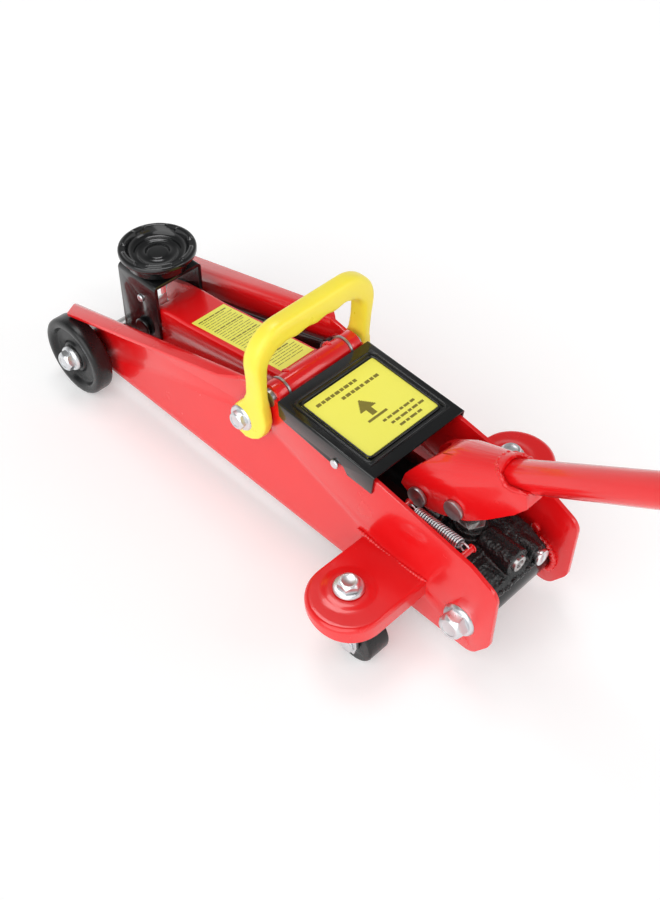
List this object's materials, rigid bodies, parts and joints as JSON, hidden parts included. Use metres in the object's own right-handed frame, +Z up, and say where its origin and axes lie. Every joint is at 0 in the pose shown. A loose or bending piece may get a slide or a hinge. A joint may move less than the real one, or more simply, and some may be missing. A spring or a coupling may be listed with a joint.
{
  "type": "hydraulic floor jack",
  "caption": "Low trolley jack: pressed steel side plates on wheels and swivelling casters, a hydraulic ram lifting an arm with a swivelling saddle, pumped by a long handle.",
  "frame": {"origin": "centre of the bottom of the whole jack's box, on the floor, on the middle plane between the side plates", "axes": "+X forwards towards the saddle and front wheels, along the jack's length; +Y to the left, the mirror direction of the two side plates; +Z up"},
  "size_m": [0.8374, 0.233, 0.4247],
  "materials": {
    "red_paint": "gloss",
    "black_paint": "gloss",
    "cast_black": "rough",
    "zinc": "zinc plated",
    "steel": "machined",
    "wheel_black": "satin",
    "yellow_plastic": "satin",
    "label_yellow": "satin",
    "rubber_grip": "matte"
  },
  "bodies": {
    "chassis": {"arm_bosses": "red_paint", "arm_shaft": "steel", "arm_washers": "zinc", "carry_handle": "yellow_plastic", "carry_handle_bolts": "zinc", "caster_races": "steel", "caster_stem_bolts": "zinc", "caster_wing_left": "red_paint", "caster_wing_right": "red_paint", "cover_label": "label_yellow", "cover_plate": "black_paint", "cover_screws": "zinc", "front_axle": "steel", "front_spacers": "black_paint", "front_wheel_bolts": "zinc", "fulcrum_bracket": "black_paint", "fulcrum_pin": "zinc", "oil_plug": "zinc", "oil_tank": "black_paint", "pump_block": "cast_black", "pump_gland": "steel", "ram_cylinder": "steel", "ram_gland": "steel", "rear_bolts": "zinc", "rear_cross_tube": "black_paint", "return_springs": "zinc", "side_plate_left": "red_paint", "side_plate_right": "red_paint", "spring_studs": "zinc", "tank_cap": "black_paint", "tie_rod_rear_stud": "steel"},
    "lift_arm": {"lift_arm": "red_paint", "arm_label": "label_yellow", "arm_lever_plates": "black_paint", "lever_roller": "steel", "lever_roller_pin": "steel"},
    "saddle_bracket": {"saddle_bracket": "black_paint", "arm_pin": "black_paint", "bracket_rivet": "zinc", "tie_rod_front_pin": "steel"},
    "saddle": {"saddle": "black_paint", "saddle_clip": "zinc"},
    "tie_rod": {"tie_rod": "black_paint"},
    "ram": {"ram_rod": "steel", "ram_piston": "steel", "ram_head": "steel"},
    "front_wheel_left": {"front_wheel_left": "wheel_black"},
    "front_wheel_right": {"front_wheel_right": "wheel_black"},
    "caster_fork_left": {"caster_fork_left": "zinc", "caster_axle_left": "zinc"},
    "caster_fork_right": {"caster_fork_right": "zinc", "caster_axle_right": "zinc"},
    "caster_wheel_left": {"caster_wheel_left": "wheel_black"},
    "caster_wheel_right": {"caster_wheel_right": "wheel_black"},
    "pump_yoke": {"yoke": "red_paint", "pump_pin": "zinc"},
    "handle": {"handle_tube": "red_paint", "handle_grip": "rubber_grip"},
    "pump_plunger": {"pump_plunger": "steel"},
    "release_valve": {"release_valve": "steel"}
  },
  "joints": [
    {"name": "lift_arm_pivot", "type": "hinge", "parent": "chassis", "child": "lift_arm", "pos_m": [0.17467, 0, 0.118], "axis": [0, -1, 0], "range_deg": [0, 67]},
    {"name": "saddle_bracket_pivot", "type": "hinge", "parent": "lift_arm", "child": "saddle_bracket", "pos_m": [0.33867, 0, 0.07], "axis": [0, -1, 0], "range_deg": [-68, 1]},
    {"name": "saddle_swivel", "type": "hinge", "parent": "saddle_bracket", "child": "saddle", "pos_m": [0.34287, 0, 0.118], "axis": [0, 0, 1], "continuous": true},
    {"name": "tie_rod_pivot", "type": "hinge", "parent": "chassis", "child": "tie_rod", "pos_m": [0.18967, -0.0341, 0.107], "axis": [0, -1, 0], "range_deg": [-1, 68]},
    {"name": "ram_stroke", "type": "slide", "parent": "chassis", "child": "ram", "axis": [1, 0, 0], "range_m": [0, 0.0553]},
    {"name": "front_wheel_left_spin", "type": "hinge", "parent": "chassis", "child": "front_wheel_left", "pos_m": [0.38467, 0.058, 0.034], "axis": [0, 1, 0], "continuous": true},
    {"name": "front_wheel_right_spin", "type": "hinge", "parent": "chassis", "child": "front_wheel_right", "pos_m": [0.38467, -0.058, 0.034], "axis": [0, 1, 0], "continuous": true},
    {"name": "caster_left_swivel", "type": "hinge", "parent": "chassis", "child": "caster_fork_left", "pos_m": [0.05567, 0.084, 0.04], "axis": [0, 0, 1], "continuous": true},
    {"name": "caster_left_spin", "type": "hinge", "parent": "caster_fork_left", "child": "caster_wheel_left", "pos_m": [0.04267, 0.084, 0.0175], "axis": [0, 1, 0], "continuous": true},
    {"name": "caster_right_swivel", "type": "hinge", "parent": "chassis", "child": "caster_fork_right", "pos_m": [0.05567, -0.084, 0.04], "axis": [0, 0, 1], "continuous": true},
    {"name": "caster_right_spin", "type": "hinge", "parent": "caster_fork_right", "child": "caster_wheel_right", "pos_m": [0.04267, -0.084, 0.0175], "axis": [0, 1, 0], "continuous": true},
    {"name": "pump_handle_swing", "type": "hinge", "parent": "chassis", "child": "pump_yoke", "pos_m": [0.05467, 0, 0.097], "axis": [0, 1, 0], "range_deg": [-28, 12]},
    {"name": "handle_pull_out", "type": "slide", "parent": "pump_yoke", "child": "handle", "axis": [-0.8368, 0, 0.5476], "range_m": [0, 0.036]},
    {"name": "pump_stroke", "type": "slide", "parent": "chassis", "child": "pump_plunger", "axis": [0, 0, 1], "range_m": [-0.0152, 0.0066]},
    {"name": "release_valve_turn", "type": "hinge", "parent": "chassis", "child": "release_valve", "pos_m": [-0.01033, 0, 0.072], "axis": [1, 0, 0], "range_deg": [0, 270]}
  ],
  "couplings": [
    {"joint": "saddle_bracket_pivot", "follows": "lift_arm_pivot", "ratio": -1},
    {"joint": "tie_rod_pivot", "follows": "lift_arm_pivot", "ratio": 1},
    {"joint": "ram_stroke", "follows": "lift_arm_pivot", "m_per_rad": 0.0472},
    {"joint": "pump_stroke", "follows": "pump_handle_swing", "m_per_rad": 0.0308}
  ]
}
